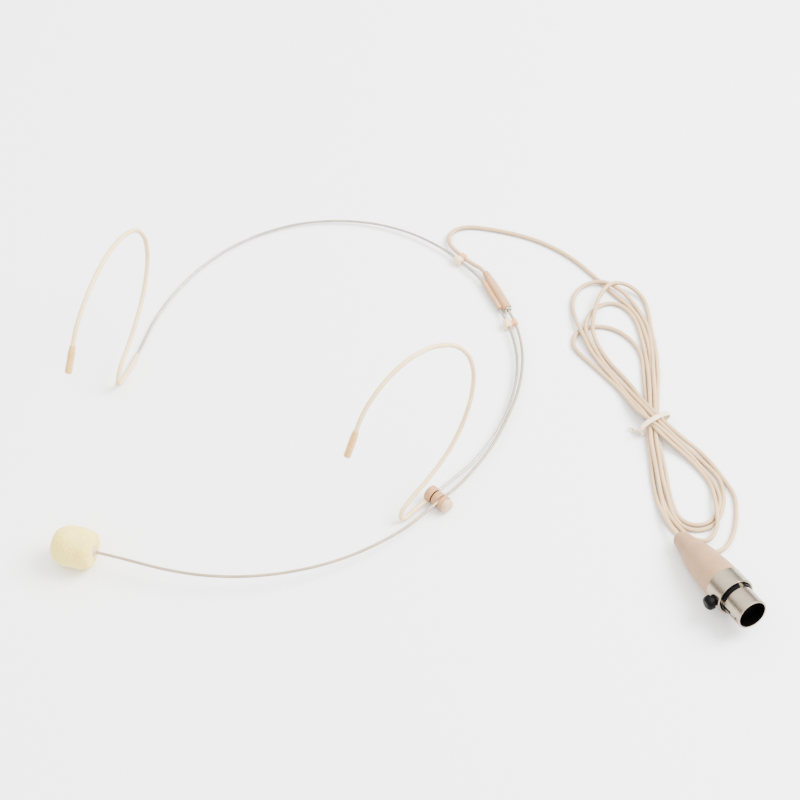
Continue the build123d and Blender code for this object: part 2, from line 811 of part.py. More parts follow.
# The latch arm runs forward under the button to a hook in the barrel's slot.
with BuildPart() as latch_hook:
    with BuildSketch(plug_plane(hook_start, arm_middle)):
        Rectangle(arm_thickness, arm_width)
    extrude(amount=button_at - hook_start + arm_width * 0.65)
    with BuildSketch(plug_plane(hook_start, arm_middle + hook_rise)):
        Rectangle(2 * arm_thickness, barrel_slot_width - 0.2)
    extrude(amount=hook_length)
    with BuildSketch(button_plane.offset(arm_middle + 0.1)):
        Circle(pusher_radius)
    extrude(amount=latch_stem_start - arm_middle - 0.1)
save("latch_hook", latch_hook.part)

with BuildPart() as plug_boot:
    with BuildSketch(Plane(origin=plug_nose, x_dir=plug_back, z_dir=plug_down)):
        with BuildLine():
            Polyline(
                (boot_front_at, 0),
                (boot_front_at, 5.1),
                (boot_front_at + 0.2, 5.3),
                (17.6, 5.08),
                (20.6, 4.82),
                (23.6, 4.5),
                (25.1, 4.25),
                (26.5, 3.9),
                (27.8, 3.55),
                (28.2, 3.05),
                (33.2, 2.4),
                (plug_length, 1.95),
                (plug_length, 0),
                (boot_front_at, 0),
            )
        make_face()
    revolve(axis=plug_axis)
    neck_seat_end = boot_front_at + shell_neck_length + 0.1
    neck_seat = plug_ring(boot_front_at, neck_seat_end, shell_neck_radius + fit_gap, 0)
    add(neck_seat, mode=Mode.SUBTRACT)
    add(plug_ring(boot_front_at, boot_cavity_end, boot_cavity_radius, 0), mode=Mode.SUBTRACT)
    add(plug_ring(boot_cavity_end, plug_length, cable_radius + fit_gap, 0), mode=Mode.SUBTRACT)
save("plug_boot", plug_boot.part)

chuck_start = boot_cavity_end - 5.5
chuck_end = boot_cavity_end - 0.5
save("cable_chuck", plug_ring(chuck_start, chuck_end, chuck_radius, cable_radius + fit_gap))

tail_start = plug_nose + plug_back * 21.0
tail_length = (boot_end - tail_start).length + 4.6
with BuildPart() as cable_tail:
    with BuildSketch(Plane(origin=tail_start, z_dir=plug_back)):
        Circle(cable_radius)
    extrude(amount=tail_length)
save("cable_tail", cable_tail.part)

# ---- the joints' places, for the record -------------------------------------------
for name, vector in (
    ("swivel point", stack_centre),
    ("swivel axis", stack_way),
    ("foam axis", mic_way),
    ("latch outward", latch_out),
    ("plug nose", plug_nose),
    ("plug backward", plug_back),
    ("tail end", tail_start + plug_back * tail_length),
):
    print(name, round(vector.X, 5), round(vector.Y, 5), round(vector.Z, 5))
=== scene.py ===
import math

import bmesh
import bpy
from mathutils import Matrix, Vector, noise


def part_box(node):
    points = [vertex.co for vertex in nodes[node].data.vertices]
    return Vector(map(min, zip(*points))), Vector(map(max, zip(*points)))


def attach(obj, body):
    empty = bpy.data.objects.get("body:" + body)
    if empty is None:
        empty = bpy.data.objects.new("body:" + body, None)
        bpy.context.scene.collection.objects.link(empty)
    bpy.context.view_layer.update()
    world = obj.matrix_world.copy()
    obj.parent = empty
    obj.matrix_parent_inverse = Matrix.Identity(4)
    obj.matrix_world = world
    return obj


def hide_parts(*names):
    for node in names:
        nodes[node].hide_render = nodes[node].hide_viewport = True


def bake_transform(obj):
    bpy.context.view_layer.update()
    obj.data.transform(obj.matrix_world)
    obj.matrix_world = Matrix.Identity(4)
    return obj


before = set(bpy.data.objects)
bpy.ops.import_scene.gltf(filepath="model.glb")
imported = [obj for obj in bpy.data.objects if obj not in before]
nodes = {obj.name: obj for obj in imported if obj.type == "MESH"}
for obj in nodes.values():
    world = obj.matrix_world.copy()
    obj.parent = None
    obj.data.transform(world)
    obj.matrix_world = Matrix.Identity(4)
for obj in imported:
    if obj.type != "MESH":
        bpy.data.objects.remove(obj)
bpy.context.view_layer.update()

MM = 0.001
# The routes are laid out in millimetres about the middle of the line between the ears.
EAR_MIDDLE = Vector((-1.58, -14.88, 0.0))


def at(x, y, z):
    return (Vector((x, y, z)) + EAR_MIDDLE) * MM


# ---- camera ------------------------------------------------------------------------
camera_data = bpy.data.cameras.new("camera")
camera_data.lens = 117.0
camera_data.sensor_width = 36.0
camera = bpy.data.objects.new("camera", camera_data)
bpy.context.scene.collection.objects.link(camera)
camera.location = (0.26066, -0.38330, 0.55845)
aim = Vector((0.02283, 0.02045, 0.0)) - camera.location
camera.rotation_mode = "QUATERNION"
camera.rotation_quaternion = aim.to_track_quat("-Z", "Y")
bpy.context.scene.camera = camera


# ---- small helpers -----------------------------------------------------------------
def link(name, data):
    piece = bpy.data.objects.new(name, data)
    bpy.context.scene.collection.objects.link(piece)
    return piece


def nurbs(name, points, radius, resolution=6, sides=6):
    """One open NURBS spline through the route's points, round and capped."""
    data = bpy.data.curves.new(name, "CURVE")
    data.dimensions = "3D"
    data.bevel_depth = radius
    data.bevel_resolution = sides
    data.resolution_u = resolution
    data.use_fill_caps = True
    spline = data.splines.new("NURBS")
    spline.points.add(len(points) - 1)
    for point, place in zip(spline.points, points):
        point.co = (*place, 1.0)
    spline.order_u = 3
    spline.use_endpoint_u = True
    return link(name, data)


# ---- materials ---------------------------------------------------------------------
class Paint:
    """A node material in the making: a Principled shader and the object's coordinates."""

    def __init__(self, name, colour, roughness, metallic=0.0):
        self.material = bpy.data.materials.new(name)
        self.material.use_nodes = True
        self.tree = self.material.node_tree
        self.shader = self.tree.nodes["Principled BSDF"]
        self.colour = colour
        self.shader.inputs["Base Color"].default_value = (*colour, 1.0)
        self.shader.inputs["Roughness"].default_value = roughness
        self.shader.inputs["Metallic"].default_value = metallic
        self.place = self.tree.nodes.new("ShaderNodeTexCoord").outputs["Object"]
        self.colour_out = None
        self.normal = None

    def put(self, kind, **values):
        node = self.tree.nodes.new(kind)
        for key, value in values.items():
            setattr(node, key, value)
        return node

    def join(self, out, into):
        self.tree.links.new(out, into)

    def maths(self, operation, first, second):
        node = self.put("ShaderNodeMath", operation=operation)
        for socket, value in zip(node.inputs, (first, second)):
            if isinstance(value, (int, float)):
                socket.default_value = value
            else:
                self.join(value, socket)
        return node.outputs[0]

    def vector_maths(self, operation, first, second):
        node = self.put("ShaderNodeVectorMath", operation=operation)
        self.join(first, node.inputs[0])
        if second is not None:
            node.inputs[1].default_value = second
        return node.outputs["Value" if operation in ("DOT_PRODUCT", "LENGTH") else "Vector"]

    def along(self, origin, way):
        """Distance in metres along a line, as a number on the surface."""
        shifted = self.vector_maths("SUBTRACT", self.place, origin)
        return self.vector_maths("DOT_PRODUCT", shifted, way)

    def off_axis(self, origin, way):
        """Distance in metres from a line, as a number on the surface."""
        shifted = self.vector_maths("SUBTRACT", self.place, origin)
        return self.vector_maths("LENGTH", self.vector_maths("CROSS_PRODUCT", shifted, way), None)

    def noise(self, size, detail=3.0, rough=0.55, source=None, flat=False):
        """Noise whose lumps are about size metres across."""
        node = self.put("ShaderNodeTexNoise", noise_dimensions="1D" if flat else "3D")
        node.inputs["Scale"].default_value = 1.0 / size
        node.inputs["Detail"].default_value = detail
        node.inputs["Roughness"].default_value = rough
        self.join(source or self.place, node.inputs["W" if flat else "Vector"])
        return node.outputs["Fac"]

    def ramp(self, value, stops):
        """A colour that follows a number: each stop is a position and a colour."""
        node = self.put("ShaderNodeValToRGB")
        elements = node.color_ramp.elements
        while len(elements) < len(stops):
            elements.new(0.5)
        for element, (position, colour) in zip(elements, stops):
            element.position = position
            element.color = (*colour, 1.0)
        self.join(value, node.inputs["Fac"])
        return node.outputs["Color"]

    def tint(self, value, low, high, start=0.35, end=0.65):
        """Base colour that runs between two tints of the paint's own colour."""
        dark = tuple(min(c * low, 1.0) for c in self.colour)
        light = tuple(min(c * high, 1.0) for c in self.colour)
        self.colour_out = self.ramp(value, [(start, dark), (end, light)])
        self.join(self.colour_out, self.shader.inputs["Base Color"])
        return self

    def mix_in(self, share, colour):
        """Another colour laid over the base colour where share is near one."""
        node = self.put("ShaderNodeMix", data_type="RGBA")
        self.join(share, node.inputs["Factor"])
        self.join(self.colour_out, node.inputs["A"])
        node.inputs["B"].default_value = (*colour, 1.0)
        self.colour_out = node.outputs["Result"]
        self.join(self.colour_out, self.shader.inputs["Base Color"])
        return self

    def paint_shade_on_lower_faces(self, colour, share):
        """Painted shade: a darker colour laid over the faces that look down or to the side."""
        facing = self.put("ShaderNodeSeparateXYZ")
        self.join(self.put("ShaderNodeNewGeometry").outputs["Normal"], facing.inputs[0])
        down = self.maths("MULTIPLY_ADD", facing.outputs["Z"], -0.5)
        down.node.inputs[2].default_value = 0.5
        return self.mix_in(self.ramp(down, [(0.30, grey(0.0)), (0.62, grey(share))]), colour)

    def rough(self, value, low, high, start=0.3, end=0.7):
        """Roughness that runs between two values."""
        node = self.put("ShaderNodeMapRange")
        self.join(value, node.inputs["Value"])
        node.inputs["From Min"].default_value = start
        node.inputs["From Max"].default_value = end
        node.inputs["To Min"].default_value = low
        node.inputs["To Max"].default_value = high
        self.join(node.outputs["Result"], self.shader.inputs["Roughness"])
        return self

    def bump(self, value, height, strength=1.0):
        """Relief whose full height is in metres."""
        node = self.put("ShaderNodeBump")
        node.inputs["Distance"].default_value = height
        node.inputs["Strength"].default_value = strength
        self.join(value, node.inputs["Height"])
        if self.normal is not None:
            self.join(self.normal, node.inputs["Normal"])
        self.normal = node.outputs["Normal"]
        self.join(self.normal, self.shader.inputs["Normal"])
        return self

    def set(self, **values):
        for key, value in values.items():
            self.shader.inputs[key.replace("_", " ")].default_value = value
        return self


def dress(material, *names):
    """Gives CAD nodes their finish, in their own material slots."""
    for name in names:
        piece = nodes[name]
        for slot in piece.material_slots:
            slot.material = material
        if not piece.material_slots:
            piece.data.materials.append(material)


def grey(level):
    return (level, level, level)


def rgb(red, green, blue):
    """A colour given as it looks on a screen, as the shader's linear numbers."""
    return tuple(((c / 255 + 0.055) / 1.055) ** 2.4 for c in (red, green, blue))


steel = Paint("drawn_steel", rgb(172, 165, 151), 0.3, 1.0)
steel.tint(steel.noise(0.004), 0.85, 1.08).rough(steel.noise(0.0006), 0.32, 0.46)
steel.bump(steel.noise(0.0001, 2.0), 0.000004)

silicone = Paint("silicone_tube", rgb(234, 206, 152), 0.5)
silicone.tint(silicone.noise(0.006), 0.93, 1.05).rough(silicone.noise(0.0008), 0.4, 0.6)
silicone.bump(silicone.noise(0.0004), 0.00001).set(Subsurface_Weight=0.12, Subsurface_Scale=0.0006)
silicone.shader.inputs["Subsurface Radius"].default_value = (1.0, 0.7, 0.45)
# Painted shade on the tube's faces that look down or to the side.
silicone.paint_shade_on_lower_faces(rgb(196, 158, 104), 0.7)

lacquer = Paint("ferrule_lacquer", rgb(216, 170, 98), 0.42)
lacquer.tint(lacquer.noise(0.0025), 0.9, 1.06).rough(lacquer.noise(0.0005), 0.32, 0.52)
# Painted shade on the ferrule's faces that look down or to the side.
lacquer.paint_shade_on_lower_faces(rgb(176, 134, 76), 0.5).bump(lacquer.noise(0.00018, 2.0), 0.000006)
lacquer.set(Metallic=0.15, Coat_Weight=0.25, Coat_Roughness=0.3)

moulding = Paint("beige_moulding", rgb(178, 132, 88), 0.48)
moulding.tint(moulding.noise(0.0016), 0.88, 1.08).rough(moulding.noise(0.0004), 0.38, 0.58)
# Painted shade on the moulding's faces that look down or to the side.
moulding.bump(moulding.noise(0.00012, 2.0), 0.000008).paint_shade_on_lower_faces(rgb(120, 84, 52), 0.6)

knob_paint = Paint("knob_moulding", rgb(202, 166, 126), 0.45)
knob_paint.tint(knob_paint.noise(0.0016), 0.92, 1.06).rough(knob_paint.noise(0.0004), 0.36, 0.55)
knob_paint.bump(knob_paint.noise(0.00012, 2.0), 0.000008)

sleeve_paint = Paint("sleeve_moulding", rgb(186, 142, 98), 0.46)
sleeve_paint.tint(sleeve_paint.noise(0.003), 0.92, 1.06).rough(sleeve_paint.noise(0.0005), 0.36, 0.55)
# Painted shade on the sleeve's faces that look down or to the side.
sleeve_paint.bump(sleeve_paint.noise(0.00014, 2.0), 0.000007).paint_shade_on_lower_faces(rgb(132, 96, 64), 0.6)

coating = Paint("boom_coating", rgb(164, 144, 116), 0.42, 0.15)
coating.tint(coating.noise(0.005), 0.88, 1.1).rough(coating.noise(0.0006), 0.28, 0.46)
# Painted shade on the boom's faces that look down or to the side.
coating.bump(coating.noise(0.00012, 2.0), 0.000004).paint_shade_on_lower_faces(rgb(92, 78, 62), 0.6)

jacket = Paint("cable_jacket", rgb(196, 164, 122), 0.5)
jacket.tint(jacket.noise(0.007), 0.94, 1.05).rough(jacket.noise(0.0007), 0.42, 0.6)
jacket.bump(jacket.noise(0.0003, 2.0), 0.00001).set(Subsurface_Weight=0.06, Subsurface_Scale=0.0004)
# Painted shade on the cable's faces that look down or to the side, darkening the strands' edges.
jacket.paint_shade_on_lower_faces(rgb(128, 96, 64), 0.8)

band = Paint("tie_band", rgb(226, 206, 174), 0.5)
band.tint(band.noise(0.002), 0.94, 1.04).rough(band.noise(0.0004), 0.4, 0.6)
# Painted shade on the tie's faces that look down or to the side.
band.bump(band.noise(0.00025, 2.0), 0.00001).paint_shade_on_lower_faces(rgb(150, 124, 92), 0.7)

black = Paint("black_moulding", rgb(8, 7, 7), 0.36)
black.tint(black.noise(0.0012), 0.7, 1.3).rough(black.noise(0.0003), 0.26, 0.44)
black.bump(black.noise(0.0001, 2.0), 0.000005).set(Specular_IOR_Level=0.05)

gold = Paint("contact_gold", (0.83, 0.6, 0.25), 0.25, 1.0)
gold.tint(gold.noise(0.0008), 0.9, 1.1).rough(gold.noise(0.0002), 0.18, 0.32)

capsule_paint = Paint("capsule_lacquer", rgb(200, 178, 150), 0.4, 0.4)
capsule_paint.tint(capsule_paint.noise(0.001), 0.9, 1.08).rough(capsule_paint.noise(0.0003), 0.3, 0.5)

# ---- the cable: lead, figure-of-eight hank, tail ------------------------------------
CABLE_RADIUS = 0.6 * MM
SLEEVE_LENGTH = 15.4
# Across the rear clip, from the middle of its snap to the cable that it holds.
CLIP_REACH = 1.85
sleeve_ring_end = at(34.4, 79.5, 1.6)
sleeve_way = Vector((-11.8, 8.6, 0.0)).normalized()
sleeve_top = sleeve_ring_end + sleeve_way * (SLEEVE_LENGTH * MM)
clip_low, clip_high = at(7.6, 90.6, 1.6), at(18.0, 87.3, 1.6)
clip_way = (clip_high - clip_low).normalized()
clip_out = Vector((-clip_way.y, clip_way.x, 0.0)).normalized()
cable_in_clip = (clip_low + clip_high) / 2 + clip_out * (CLIP_REACH * MM)

cable_points = [
    sleeve_top - sleeve_way * (3.0 * MM),
    sleeve_top + sleeve_way * (1.6 * MM),
    cable_in_clip + clip_way * (3.6 * MM),
    cable_in_clip - clip_way * (2.8 * MM),
    at(7.3, 93.1, 1.5),
    at(5.1, 96.3, 1.1),
    at(5.5, 100.2, 0.85),
    at(8.4, 103.1, 0.7),
    at(13.6, 105.2, 0.65),
    at(19.9, 107.0, 0.65),
    at(26.8, 108.3, 0.65),
    at(34.3, 108.3, 0.65),
    at(41.7, 107.0, 0.65),
    at(47.6, 104.9, 0.65),
    at(52.8, 103.0, 0.65),
]

# The hank is laid out about the middle of its tie, in millimetres: along towards the
# plug, across towards the far side, and up from the surface.
TIE_MIDDLE = at(90.4, 62.4, 0.0)
ALONG = Vector((0.85, -0.53, 0.0)).normalized()
ACROSS = Vector((0.53, 0.85, 0.0)).normalized()


def hank(along, across, up):
    return TIE_MIDDLE + ALONG * (along * MM) + ACROSS * (across * MM) + Vector((0, 0, up * MM))


# Each turn runs down the near bundle, round the low end, back up the far bundle and
# round the top. A bundle's stations are: along, its middle across, the room for each
# strand, and the levels of its even and odd strands.
NEAR = [
    (-32.0, 16.0, 1.20, 0.65, 0.65),
    (-24.0, 12.9, 1.15, 0.65, 0.95),
    (-16.0, 8.6, 1.00, 0.65, 1.40),
    (-9.5, 4.9, 0.88, 0.85, 1.85),
    (-4.0, 1.8, 0.78, 1.15, 2.15),
    (1.0, -1.2, 0.78, 1.15, 2.15),
    (5.0, -3.3, 0.78, 1.10, 2.10),
    (10.0, -5.3, 0.85, 0.85, 1.85),
    (16.5, -8.3, 0.92, 0.65, 1.60),
    (23.0, -11.0, 0.98, 0.65, 1.35),
]
FAR = [
    (25.0, 5.2, 1.45, 0.65),
    (20.0, 5.0, 1.40, 0.65),
    (14.0, 4.1, 1.35, 1.00),
    (9.0, 2.4, 1.25, 2.00),
    (4.0, 0.9, 1.20, 3.05),
    (-0.5, 0.0, 1.20, 3.25),
    (-5.0, -0.4, 1.15, 2.90),
    (-10.0, -0.4, 1.15, 1.70),
    (-15.0, -0.2, 1.20, 0.85),
    (-20.0, -0.6, 1.30, 0.65),
    (-26.0, -1.2, 1.40, 0.65),
]
# Per turn: its slot in the near bundle, its slots in the far bundle below and above
# the tie, its low end and its top.
TURNS = [
    (
        0, -1.5, -0.5,
        [(29.0, -12.6, 0.7), (34.2, -12.4, 0.9), (38.8, -11.2, 1.1), (41.6, -8.0, 1.5),
         (38.8, -3.6, 1.95), (33.4, -0.6, 1.95), (28.6, 1.6, 1.2)],
        [(-32.0, -1.9, 1.1), (-38.4, -0.9, 1.9), (-45.2, 0.5, 1.1), (-51.6, 3.2, 0.65),
         (-55.2, 8.4, 0.7), (-54.0, 14.2, 1.6), (-48.6, 17.4, 1.85), (-42.0, 18.5, 0.9),
         (-36.8, 18.3, 0.65)],
    ),
    (
        1, 0.5, 0.5,
        [(30.0, -12.0, 0.8), (35.0, -10.8, 0.65), (37.4, -6.4, 0.65), (36.2, -1.4, 0.65),
         (31.2, 3.4, 0.65)],
        [(-32.0, -0.4, 1.1), (-38.0, 0.0, 1.9), (-42.4, 2.6, 1.2), (-45.8, 7.4, 0.65),
         (-46.0, 12.6, 0.65), (-42.4, 15.6, 0.7), (-37.0, 15.9, 0.65)],
    ),
    (
        -1, 1.5, 1.5,
        [(29.6, -14.0, 0.9), (34.6, -13.8, 0.65), (40.4, -12.6, 0.65), (44.6, -9.6, 0.65),
         (45.2, -5.0, 0.65), (41.8, -0.2, 0.65), (36.4, 4.0, 0.65), (30.8, 7.0, 0.65)],
        [(-32.0, 0.9, 1.1), (-37.6, 1.8, 1.95), (-43.0, 5.6, 2.0), (-47.8, 10.0, 2.3),
         (-50.8, 15.2, 3.1), (-48.8, 20.2, 2.1), (-43.0, 22.3, 0.8), (-37.2, 20.6, 0.65)],
    ),
    (
        2, -0.5, -1.5,
        [(29.6, -10.8, 0.65), (33.8, -9.4, 0.65), (35.8, -5.6, 0.65), (34.6, -1.0, 0.65),
         (30.4, 2.8, 0.65)],
        [(-31.0, -4.6, 0.65), (-36.4, -5.4, 0.65), (-40.6, -1.6, 0.65), (-40.2, 4.0, 0.65),
         (-36.6, 8.6, 0.65), (-30.6, 10.9, 0.65)],
    ),
]
# The slot in the near bundle of the strand that leaves for the plug.
LAST_SLOT = -2
# How far a strand drifts from its slot, and how far from the tie the drift is full.
WANDER = 0.34
WANDER_FULL_AT = 16.0
# The far strands change slots between these two stations.
CROSSING_LOW = 4.0
CROSSING_LENGTH = 9.0


def wander(along, strand):
    """Strands drift a little from their slots, more so away from the tie."""
    return WANDER * min(abs(along) / WANDER_FULL_AT, 1.0) * math.sin(along / 5.0 + 2.3 * strand)


def near_bundle(strand):
    """One strand's points down the near bundle; the last one joins it a station later."""
    start = 1 if strand == LAST_SLOT else 0
    return [
        hank(along, middle + strand * room + wander(along, strand), odd if strand % 2 else even)
        for along, middle, room, even, odd in NEAR[start:]
    ]


def far_bundle(low_slot, top_slot):
    """One strand's points up the far bundle; strands lift over one another as they cross."""
    placed = []
    for along, middle, room, level in FAR:
        share = min(max((CROSSING_LOW - along) / CROSSING_LENGTH, 0.0), 1.0)
        strand = low_slot + (top_slot - low_slot) * share
        lift = 0.45 * (low_slot - top_slot) * (1.0 - abs(2.0 * share - 1.0))
        placed.append(hank(along, middle + strand * room + wander(along, strand + 0.7), level + lift))
    return placed


cable_points += [hank(-47.6, 15.4, 0.65), hank(-42.0, 16.9, 0.65), hank(-37.0, 17.1, 0.65)]
for strand, low_slot, top_slot, low_end, top in TURNS:
    cable_points += near_bundle(strand)
    cable_points += [hank(*place) for place in low_end]
    cable_points += far_bundle(low_slot, top_slot)
    cable_points += [hank(*place) for place in top]
boot_end = at(114.2, 29.9, 3.0)
plug_nose = at(143.25, 13.0, 8.4)
plug_back = (boot_end - plug_nose).normalized()
cable_points += near_bundle(LAST_SLOT)
cable_points += [
    hank(27.6, -14.2, 1.55),
    boot_end + plug_back * (4.2 * MM),
    boot_end + plug_back * (0.8 * MM),
    boot_end - plug_back * (6.0 * MM),
]
cable = nurbs("cable", cable_points, CABLE_RADIUS, resolution=6, sides=6)
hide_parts("cable_lead", "cable_hank", "cable_tail")
cable.data.materials.append(jacket.material)
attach(cable, "frame")

# ---- the tie: a strip wrapped once over the strands, its ends twisted together -------
TIE_HALF_WIDTH = 0.82
TIE_HALF_THICK = 0.28
TIE_STEPS = 40
# The loop is open where its ends meet, under the near side: it runs this many degrees.
TIE_ARC = 256.0
TIE_REACH = 5.15
TIE_WIDEST = 5.3
TIE_MIDDLE_HEIGHT = 2.3
TIE_RISE = 2.15
RIBBON_SIDES = 10


def ribbon(name, rows, material):
    """A strip with rounded edges: each row is a middle point, its width way and its lift way."""
    mesh = bmesh.new()
    turns = [math.tau * i / RIBBON_SIDES for i in range(RIBBON_SIDES)]
    outline = [(math.copysign(abs(math.cos(t)) ** 0.7, math.cos(t)), math.sin(t)) for t in turns]
    rings = []
    for middle, wide, thick in rows:
        rings.append([mesh.verts.new(middle + wide * c + thick * s) for c, s in outline])
    for first, second in zip(rings, rings[1:]):
        for i in range(RIBBON_SIDES):
            j = (i + 1) % RIBBON_SIDES
            mesh.faces.new((first[i], first[j], second[j], second[i]))
    mesh.faces.new(list(reversed(rings[0])))
    mesh.faces.new(rings[-1])
    bmesh.ops.recalc_face_normals(mesh, faces=mesh.faces)
    data = bpy.data.meshes.new(name)
    mesh.to_mesh(data)
    mesh.free()
    for face in data.polygons:
        face.use_smooth = True
    data.materials.append(material)
    return link(name, data)


tie_rows = []
for step in range(TIE_STEPS + 1):
    turn = math.radians(TIE_ARC * (step / TIE_STEPS - 0.5))
    reach = math.sin(turn) * TIE_REACH
    # The sides are fuller than an ellipse's, as a strip's are round a flat bundle.
    reach = math.copysign(min(abs(reach) ** 0.92 * 1.14, TIE_WIDEST), reach)
    lean = -0.81 * math.sin(turn * 0.8)
    middle = hank(lean, reach - 0.2, TIE_MIDDLE_HEIGHT + math.cos(turn) * TIE_RISE)
    outward = (ACROSS * math.sin(turn) + Vector((0, 0, 1)) * math.cos(turn)).normalized()
    tie_rows.append((middle, ALONG * (TIE_HALF_WIDTH * MM), outward * (TIE_HALF_THICK * MM)))
tie_loop = ribbon("tie_loop", tie_rows, band.material)
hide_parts("hank_tie")
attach(tie_loop, "frame")


TWIST_STEPS = 24
TWIST_TURNS = 1.5
TWIST_RADIUS = 0.3
TWIST_HALF_WIDTH = 0.42
TWIST_HALF_THICK = 0.16


def twisted_end(name, start, way, length, phase):
    """One end of the strip, wound about the other and narrower towards its tip."""
    side = way.cross(Vector((0, 0, 1))).normalized()
    up = side.cross(way).normalized()
    rows = []
    for step in range(TWIST_STEPS + 1):
        share = step / TWIST_STEPS
        turn = phase + TWIST_TURNS * math.tau * share
        offset = side * math.cos(turn) + up * math.sin(turn)
        middle = start + way * (length * MM * share) + offset * (TWIST_RADIUS * MM)
        wide = way.cross(offset).normalized() * (TWIST_HALF_WIDTH * (1.0 - 0.35 * share) * MM)
        rows.append((middle, wide, offset * (TWIST_HALF_THICK * MM)))
    return ribbon(name, rows, band.material)


twist_start = hank(0.8, -4.6, 0.95)
twist_way = (ALONG * -0.85 + ACROSS * -0.5 + Vector((0, 0, -0.02))).normalized()
for twist_name, twist_length, phase in (("tie_end_a", 4.2, 0.0), ("tie_end_b", 3.4, math.pi)):
    twist = twisted_end(twist_name, twist_start, twist_way, twist_length, phase)
    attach(twist, "frame")

# ---- foam windscreen ----------------------------------------------------------------
mic_start = at(-15.4, -54.85, 5.8)
mic_way = Vector((-13.3, -3.4, 0.0)).normalized()
mic_side = Vector((-mic_way.y, mic_way.x, 0.0))
FOAM_LENGTH = 12.6
FOAM_WAIST_AT = 4.6
FOAM_RADIUS = 5.55
FOAM_SIDES = 40
FOAM_CELL = 0.00042


def bezier(points, share):
    """A point on a Bezier curve, by repeated division of its hull."""
    points = [Vector((*p, 0.0)) for p in points]
    while len(points) > 1:
        points = [a.lerp(b, share) for a, b in zip(points, points[1:])]
    return points[0].x, points[0].y


# Its outline as distance along the microphone and radius: the mouth, turned in where the
# boom goes through, then the shoulder behind and the long round front.
waist = (FOAM_WAIST_AT, FOAM_RADIUS)
shoulder = [(0.65, 2.6), (0.6, 4.9), (1.7, 5.5), waist]
front = [waist, (10.0, 5.6), (12.5, 4.9), (FOAM_LENGTH, 0.0)]
screen_profile = [(1.8, 0.6), (1.0, 1.1), (0.75, 1.7)]
screen_profile += [bezier(shoulder, i / 12) for i in range(13)]
screen_profile += [bezier(front, i / 16) for i in range(1, 16)]
foam_mesh = bmesh.new()
rings = []
for along_mic, radius in screen_profile:
    ring = []
    for i in range(FOAM_SIDES):
        turn = math.tau * i / FOAM_SIDES
        out = mic_side * math.cos(turn) + Vector((0, 0, 1)) * math.sin(turn)
        ring.append(foam_mesh.verts.new(mic_start + mic_way * (along_mic * MM) + out * (radius * MM)))
    rings.append(ring)
for first, second in zip(rings, rings[1:]):
    for i in range(FOAM_SIDES):
        j = (i + 1) % FOAM_SIDES
        foam_mesh.faces.new((first[i], first[j], second[j], second[i]))
tip = foam_mesh.verts.new(mic_start + mic_way * (FOAM_LENGTH * MM))
for i in range(FOAM_SIDES):
    foam_mesh.faces.new((rings[-1][i], rings[-1][(i + 1) % FOAM_SIDES], tip))
foam_mesh.faces.new(list(reversed(rings[0])))
bmesh.ops.recalc_face_normals(foam_mesh, faces=foam_mesh.faces)
bmesh.ops.subdivide_edges(foam_mesh, edges=foam_mesh.edges, cuts=3, use_grid_fill=True, smooth=1.0)
foam_data = bpy.data.meshes.new("foam_windscreen")
foam_mesh.to_mesh(foam_data)
foam_mesh.free()
for face in foam_data.polygons:
    face.use_smooth = True
# Cut foam is softly uneven, with cells and pits in its skin.
foam_places = [vertex.co.copy() for vertex in foam_data.vertices]
foam_normals = [vertex.normal.copy() for vertex in foam_data.vertices]
for vertex, place, way in zip(foam_data.vertices, foam_places, foam_normals):
    soft = noise.noise(place * 260.0) * 0.28
    cells = noise.noise(place * 1700.0) * 0.10
    pits = noise.cell(place * 2600.0) * 0.06
    vertex.co = place + way * ((soft + cells - pits) * MM)
foam = link("foam_windscreen", foam_data)

sponge = Paint("open_cell_foam", rgb(255, 228, 118), 0.95)
cell_node = sponge.put("ShaderNodeTexVoronoi", feature="SMOOTH_F1")
cell_node.inputs["Scale"].default_value = 1.0 / FOAM_CELL
cell_node.inputs["Smoothness"].default_value = 0.35
sponge.join(sponge.place, cell_node.inputs["Vector"])
cell_depth = cell_node.outputs["Distance"]
# The tint follows the cell bump: painted shade, darker where the foam's surface lies low between the
# cells.
sponge.tint(cell_depth, 1.04, 0.84, 0.15, 0.62)
patches = sponge.ramp(sponge.noise(0.004), [(0.42, grey(0.0)), (0.62, grey(0.28))])
sponge.mix_in(patches, rgb(255, 236, 140))
sponge.bump(sponge.maths("SUBTRACT", 1.0, cell_depth), 0.00012, 0.8)
sponge.bump(sponge.noise(0.00025, 4.0), 0.00005, 0.6)
sponge.set(Subsurface_Weight=0.35, Subsurface_Scale=0.0022, Sheen_Weight=0.12)
sponge.shader.inputs["Subsurface Radius"].default_value = (1.0, 0.75, 0.4)
foam_data.materials.append(sponge.material)
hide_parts("windscreen")
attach(foam, "foam")

# ---- boom tube behind the adjuster: from the boom's groove it bends back to the sleeve ---
# The adjuster's parts are stacked across the wire: block, washer, hub, then the groove
# that holds the boom.
BLOCK_START = -1.1
BLOCK_THICKNESS = 2.2
WASHER_THICKNESS = 0.3
FIT_GAP = 0.02
HUB_THICKNESS = 1.9
GROOVE_WIDTH = 0.6
STACK_RISE = 0.95
BOOM_RISE = 0.95
BOOM_RADIUS = 0.4 * MM
wire_behind, wire_ahead = at(51.6, 16.4, 1.6), at(48.8, 5.6, 1.5)
run_way = (wire_ahead - wire_behind).normalized()
stack_way = Vector((-run_way.y, run_way.x, 0.0)).normalized()
clamped_point = wire_behind.lerp(wire_ahead, 0.66)
stack_centre = clamped_point + Vector((0, 0, STACK_RISE * MM))
groove_start = BLOCK_START + BLOCK_THICKNESS + WASHER_THICKNESS + FIT_GAP + HUB_THICKNESS
groove_middle = (groove_start + GROOVE_WIDTH / 2) * MM
boom_middle = stack_centre + stack_way * groove_middle + Vector((0, 0, BOOM_RISE * MM))
